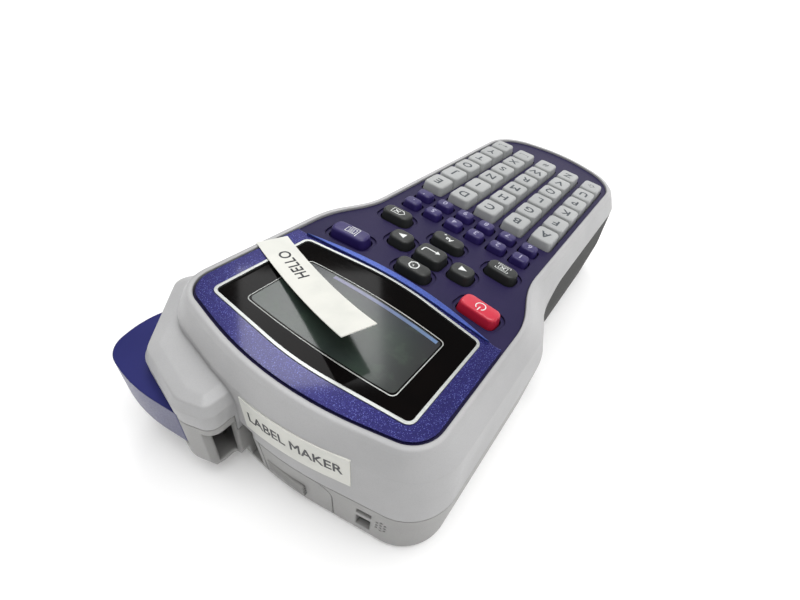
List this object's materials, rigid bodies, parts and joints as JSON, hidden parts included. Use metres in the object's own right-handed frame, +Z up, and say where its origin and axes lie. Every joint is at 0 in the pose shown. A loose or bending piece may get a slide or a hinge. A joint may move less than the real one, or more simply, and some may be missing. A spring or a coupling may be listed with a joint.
{
  "type": "handheld label printer",
  "caption": "Handheld thermal label printer with keyboard, display, cutter lever, hinged back cover and tape mechanism.",
  "frame": {"origin": "on the underside, on the centre line, half way along the body", "axes": "+Y from the grip to the display end, +X to the cutter side, +Z up out of the keyboard"},
  "size_m": [0.1007, 0.2121, 0.0569],
  "materials": {
    "case_grey": "fine satin moulded plastic",
    "case_grey_lower": "fine satin moulded plastic",
    "grip_dark": "soft-touch matte",
    "panel_violet": "fine-grained matte",
    "bezel_blue": "metallic flake lacquer",
    "trim_silver": "satin silver",
    "window_black": "gloss, smoked",
    "lcd_green": "satin polariser",
    "board_green": "solder mask",
    "mat_grey": "silicone",
    "black_plastic": "fine matte",
    "frame_grey": "fine matte",
    "motor_steel": "plated can",
    "steel": "ground",
    "gear_white": "acetal",
    "roller_rubber": "ground rubber",
    "aluminium": "satin",
    "cassette_smoke": "satin",
    "tray_black": "fine matte",
    "cell_wrap": "gloss wrap",
    "lever_blue": "gloss",
    "label_white": "coated tape",
    "key_grey": "satin",
    "key_violet": "satin",
    "key_black": "satin",
    "key_red": "satin"
  },
  "bodies": {
    "case": {"upper_case": "case_grey", "lower_case": "case_grey_lower", "grip_shell": "grip_dark", "keypad_panel": "panel_violet", "display_bezel": "bezel_blue", "display_trim": "trim_silver", "display_window": "window_black", "lcd_module": "lcd_green", "main_board": "board_green", "keymat": "mat_grey", "buzzer": "black_plastic", "dc_jack": "black_plastic", "motor": "motor_steel", "mechanism_frame": "frame_grey", "pivot_pins": "steel", "print_head": "aluminium", "tape_cassette": "cassette_smoke", "lever_spring": "steel", "fixed_blade": "steel", "battery_tray": "tray_black", "batteries": "cell_wrap", "battery_contacts": "steel", "case_screws": "steel", "title_label": "label_white", "printed_strip": "label_white"},
    "back_cover": {"back_cover": "case_grey_lower"},
    "cutter_lever": {"cutter_lever": "lever_blue"},
    "cutter_blade": {"cutter_blade": "steel"},
    "roller_holder": {"roller_holder": "frame_grey"},
    "platen_roller": {"platen_roller": "roller_rubber"},
    "reduction_gear": {"reduction_gear": "gear_white"},
    "motor_pinion": {"motor_pinion": "steel"},
    "feed_spindle": {"feed_spindle": "gear_white"},
    "ribbon_spindle": {"ribbon_spindle": "gear_white"},
    "power_key": {"power_key": "key_red"},
    "print_key": {"print_key": "key_violet"},
    "setting_key": {"setting_key": "key_black"},
    "left_key": {"left_key": "key_black"},
    "enter_key": {"enter_key": "key_black"},
    "right_key": {"right_key": "key_black"},
    "symbol_key": {"symbol_key": "key_black"},
    "clear_key": {"clear_key": "key_black"},
    "delete_key": {"delete_key": "key_black"},
    "number_key_1": {"number_key_1": "key_violet"},
    "number_key_2": {"number_key_2": "key_violet"},
    "number_key_3": {"number_key_3": "key_violet"},
    "number_key_4": {"number_key_4": "key_violet"},
    "number_key_5": {"number_key_5": "key_violet"},
    "number_key_6": {"number_key_6": "key_violet"},
    "number_key_7": {"number_key_7": "key_violet"},
    "number_key_8": {"number_key_8": "key_violet"},
    "number_key_9": {"number_key_9": "key_violet"},
    "number_key_10": {"number_key_10": "key_violet"},
    "number_key_11": {"number_key_11": "key_violet"},
    "number_key_12": {"number_key_12": "key_violet"},
    "letter_keys_1": {"letter_keys_1": "key_grey"},
    "letter_keys_2": {"letter_keys_2": "key_grey"},
    "letter_keys_3": {"letter_keys_3": "key_grey"},
    "letter_keys_4": {"letter_keys_4": "key_grey"},
    "letter_keys_5": {"letter_keys_5": "key_grey"}
  },
  "joints": [
    {"name": "cutter_lever_turn", "type": "hinge", "parent": "case", "child": "cutter_lever", "pos_m": [0.0205, 0.1005, 0.022], "axis": [0, 0, -1], "range_deg": [0, 10], "stiffness_Nm_per_rad": 0.08, "springref_deg": -8.59},
    {"name": "blade_slide", "type": "slide", "parent": "case", "child": "cutter_blade", "axis": [-1, 0, 0], "range_m": [0, 0.0019]},
    {"name": "cover_open", "type": "hinge", "parent": "case", "child": "back_cover", "pos_m": [0, -0.0938, 0], "axis": [-1, 0, 0], "range_deg": [0, 70]},
    {"name": "roller_holder_swing", "type": "hinge", "parent": "case", "child": "roller_holder", "pos_m": [0.0175, 0.057, 0.012], "axis": [0, 0, -1], "range_deg": [0, 6], "stiffness_Nm_per_rad": 0.02, "springref_deg": -5.73},
    {"name": "reduction_spin", "type": "hinge", "parent": "case", "child": "reduction_gear", "pos_m": [0.01801, 0.0728, 0.03], "axis": [0, 0, 1], "continuous": true},
    {"name": "motor_spin", "type": "hinge", "parent": "case", "child": "motor_pinion", "pos_m": [0.03299, 0.0608, 0.025], "axis": [0, 0, 1], "continuous": true},
    {"name": "feed_spin", "type": "hinge", "parent": "case", "child": "feed_spindle", "pos_m": [0.003, 0.082, 0.025], "axis": [0, 0, 1], "continuous": true},
    {"name": "ribbon_spin", "type": "hinge", "parent": "case", "child": "ribbon_spindle", "pos_m": [-0.0025, 0.0638, 0.025], "axis": [0, 0, 1], "continuous": true},
    {"name": "platen_spin", "type": "hinge", "parent": "roller_holder", "child": "platen_roller", "pos_m": [0.0117, 0.07, 0.014], "axis": [0, 0, 1], "continuous": true},
    {"name": "power_key_press", "type": "slide", "parent": "case", "child": "power_key", "axis": [0, 0, -1], "range_m": [0, 0.0012], "stiffness_N_per_m": 400, "springref_m": -0.0006},
    {"name": "print_key_press", "type": "slide", "parent": "case", "child": "print_key", "axis": [0, 0, -1], "range_m": [0, 0.0012], "stiffness_N_per_m": 400, "springref_m": -0.0006},
    {"name": "setting_key_press", "type": "slide", "parent": "case", "child": "setting_key", "axis": [0, 0, -1], "range_m": [0, 0.0012], "stiffness_N_per_m": 400, "springref_m": -0.0006},
    {"name": "left_key_press", "type": "slide", "parent": "case", "child": "left_key", "axis": [0, 0, -1], "range_m": [0, 0.0012], "stiffness_N_per_m": 400, "springref_m": -0.0006},
    {"name": "enter_key_press", "type": "slide", "parent": "case", "child": "enter_key", "axis": [0, 0, -1], "range_m": [0, 0.0012], "stiffness_N_per_m": 400, "springref_m": -0.0006},
    {"name": "right_key_press", "type": "slide", "parent": "case", "child": "right_key", "axis": [0, 0, -1], "range_m": [0, 0.0012], "stiffness_N_per_m": 400, "springref_m": -0.0006},
    {"name": "symbol_key_press", "type": "slide", "parent": "case", "child": "symbol_key", "axis": [0, 0, -1], "range_m": [0, 0.0012], "stiffness_N_per_m": 400, "springref_m": -0.0006},
    {"name": "clear_key_press", "type": "slide", "parent": "case", "child": "clear_key", "axis": [0, 0, -1], "range_m": [0, 0.0012], "stiffness_N_per_m": 400, "springref_m": -0.0006},
    {"name": "delete_key_press", "type": "slide", "parent": "case", "child": "delete_key", "axis": [0, 0, -1], "range_m": [0, 0.0012], "stiffness_N_per_m": 400, "springref_m": -0.0006},
    {"name": "number_key_1_press", "type": "slide", "parent": "case", "child": "number_key_1", "axis": [0, 0, -1], "range_m": [0, 0.0012], "stiffness_N_per_m": 400, "springref_m": -0.0006},
    {"name": "number_key_2_press", "type": "slide", "parent": "case", "child": "number_key_2", "axis": [0, 0, -1], "range_m": [0, 0.0012], "stiffness_N_per_m": 400, "springref_m": -0.0006},
    {"name": "number_key_3_press", "type": "slide", "parent": "case", "child": "number_key_3", "axis": [0, 0, -1], "range_m": [0, 0.0012], "stiffness_N_per_m": 400, "springref_m": -0.0006},
    {"name": "number_key_4_press", "type": "slide", "parent": "case", "child": "number_key_4", "axis": [0, 0, -1], "range_m": [0, 0.0012], "stiffness_N_per_m": 400, "springref_m": -0.0006},
    {"name": "number_key_5_press", "type": "slide", "parent": "case", "child": "number_key_5", "axis": [0, 0, -1], "range_m": [0, 0.0012], "stiffness_N_per_m": 400, "springref_m": -0.0006},
    {"name": "number_key_6_press", "type": "slide", "parent": "case", "child": "number_key_6", "axis": [0, 0, -1], "range_m": [0, 0.0012], "stiffness_N_per_m": 400, "springref_m": -0.0006},
    {"name": "number_key_7_press", "type": "slide", "parent": "case", "child": "number_key_7", "axis": [0, 0, -1], "range_m": [0, 0.0012], "stiffness_N_per_m": 400, "springref_m": -0.0006},
    {"name": "number_key_8_press", "type": "slide", "parent": "case", "child": "number_key_8", "axis": [0, 0, -1], "range_m": [0, 0.0012], "stiffness_N_per_m": 400, "springref_m": -0.0006},
    {"name": "number_key_9_press", "type": "slide", "parent": "case", "child": "number_key_9", "axis": [0, 0, -1], "range_m": [0, 0.0012], "stiffness_N_per_m": 400, "springref_m": -0.0006},
    {"name": "number_key_10_press", "type": "slide", "parent": "case", "child": "number_key_10", "axis": [0, 0, -1], "range_m": [0, 0.0012], "stiffness_N_per_m": 400, "springref_m": -0.0006},
    {"name": "number_key_11_press", "type": "slide", "parent": "case", "child": "number_key_11", "axis": [0, 0, -1], "range_m": [0, 0.0012], "stiffness_N_per_m": 400, "springref_m": -0.0006},
    {"name": "number_key_12_press", "type": "slide", "parent": "case", "child": "number_key_12", "axis": [0, 0, -1], "range_m": [0, 0.0012], "stiffness_N_per_m": 400, "springref_m": -0.0006},
    {"name": "letter_keys_1_press", "type": "slide", "parent": "case", "child": "letter_keys_1", "axis": [0, 0, -1], "range_m": [0, 0.0012], "stiffness_N_per_m": 2400, "springref_m": -0.0006},
    {"name": "letter_keys_2_press", "type": "slide", "parent": "case", "child": "letter_keys_2", "axis": [0, 0, -1], "range_m": [0, 0.0012], "stiffness_N_per_m": 2400, "springref_m": -0.0006},
    {"name": "letter_keys_3_press", "type": "slide", "parent": "case", "child": "letter_keys_3", "axis": [0, 0, -1], "range_m": [0, 0.0012], "stiffness_N_per_m": 2400, "springref_m": -0.0006},
    {"name": "letter_keys_4_press", "type": "slide", "parent": "case", "child": "letter_keys_4", "axis": [0, 0, -1], "range_m": [0, 0.0012], "stiffness_N_per_m": 2400, "springref_m": -0.0006},
    {"name": "letter_keys_5_press", "type": "slide", "parent": "case", "child": "letter_keys_5", "axis": [0, 0, -1], "range_m": [0, 0.0012], "stiffness_N_per_m": 2400, "springref_m": -0.0006}
  ],
  "couplings": [
    {"joint": "blade_slide", "follows": "cutter_lever_turn", "m_per_rad": 0.0105},
    {"joint": "motor_spin", "follows": "reduction_spin", "ratio": -3},
    {"joint": "feed_spin", "follows": "reduction_spin", "ratio": -0.375},
    {"joint": "ribbon_spin", "follows": "reduction_spin", "ratio": -1.8},
    {"joint": "platen_spin", "follows": "reduction_spin", "ratio": 0.375}
  ]
}
